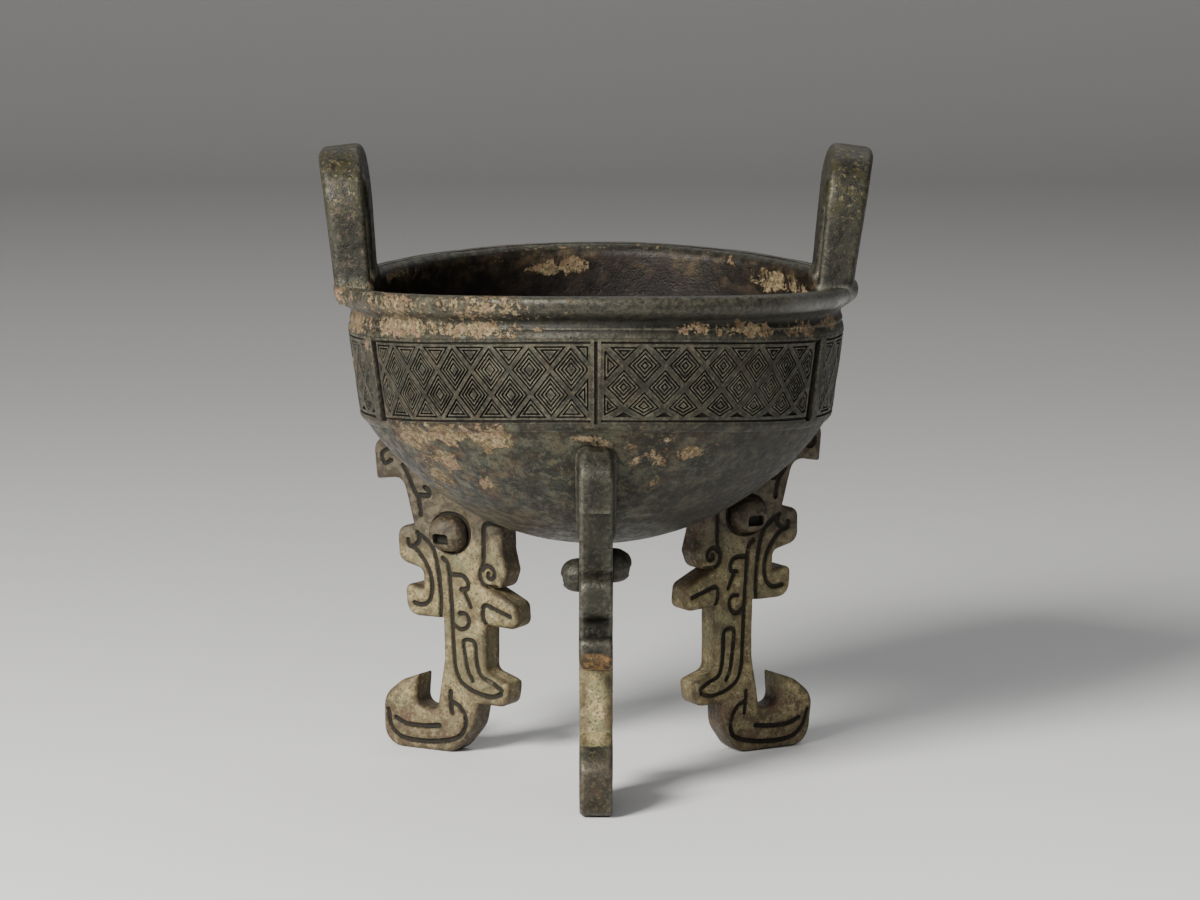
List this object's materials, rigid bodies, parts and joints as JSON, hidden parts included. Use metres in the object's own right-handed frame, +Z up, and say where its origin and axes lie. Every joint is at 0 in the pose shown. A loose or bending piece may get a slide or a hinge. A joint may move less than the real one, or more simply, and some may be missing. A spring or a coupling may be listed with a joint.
{
  "type": "bronze ding vessel",
  "caption": "Cast bronze tripod ding: round bowl with an everted lip, a diamond-patterned band, upright loop handles and flat dragon-shaped legs.",
  "frame": {"origin": "on the ground under the bowl's axis", "axes": "+Z up; +Y to the back, away from the single front leg; the two loop handles stand at +X and -X"},
  "size_m": [0.183, 0.174, 0.21],
  "materials": {
    "bronze": "satin, patinated dark grey-green with earthy crusts"
  },
  "bodies": {
    "root": {"ding_vessel": "bronze"}
  },
  "joints": []
}
